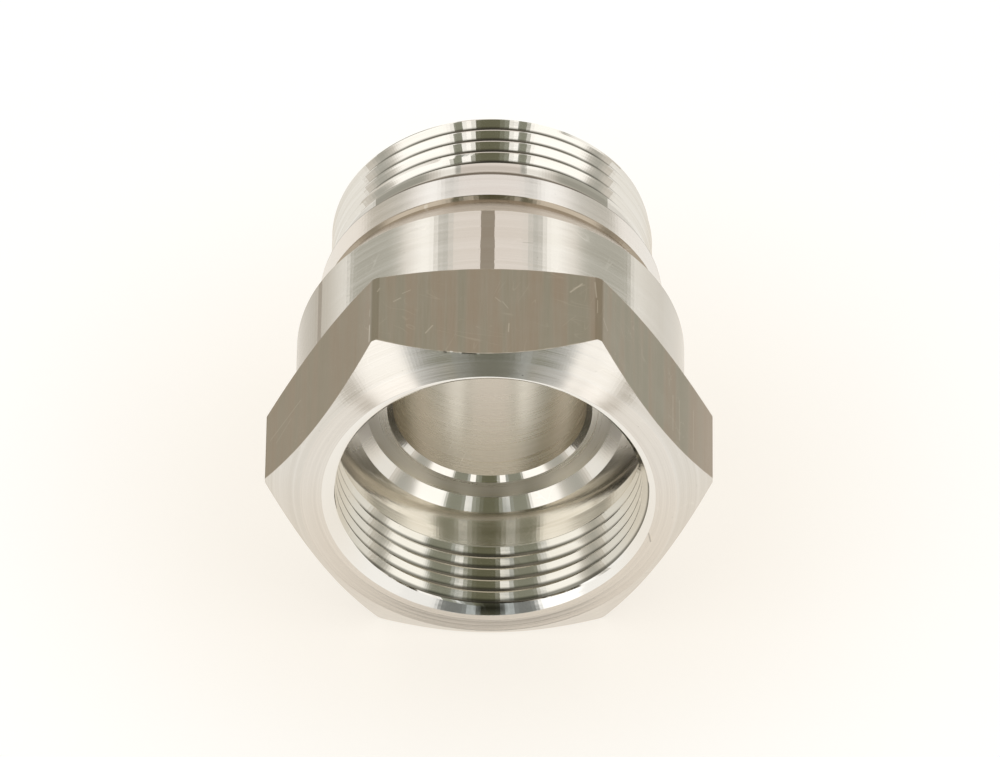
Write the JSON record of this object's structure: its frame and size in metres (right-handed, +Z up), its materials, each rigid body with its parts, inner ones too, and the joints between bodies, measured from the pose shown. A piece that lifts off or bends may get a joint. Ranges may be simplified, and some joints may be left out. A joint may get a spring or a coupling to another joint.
{
  "type": "hexagon pipe adapter",
  "caption": "One-piece metal pipe adapter: a hexagon with an internally threaded socket at one end, a plain collar, and an externally threaded spigot at the other, bored right through.",
  "frame": {"origin": "middle of the bounding box at the level of the hexagon flat that the adapter lies on", "axes": "+Y along the bore from the female end to the male end, +Z up, square to the flat that it lies on, +X across two hexagon corners"},
  "size_m": [0.0414, 0.036, 0.036],
  "materials": {
    "turned_steel": "satin"
  },
  "bodies": {
    "root": {"adapter_body": "turned_steel"}
  },
  "joints": []
}
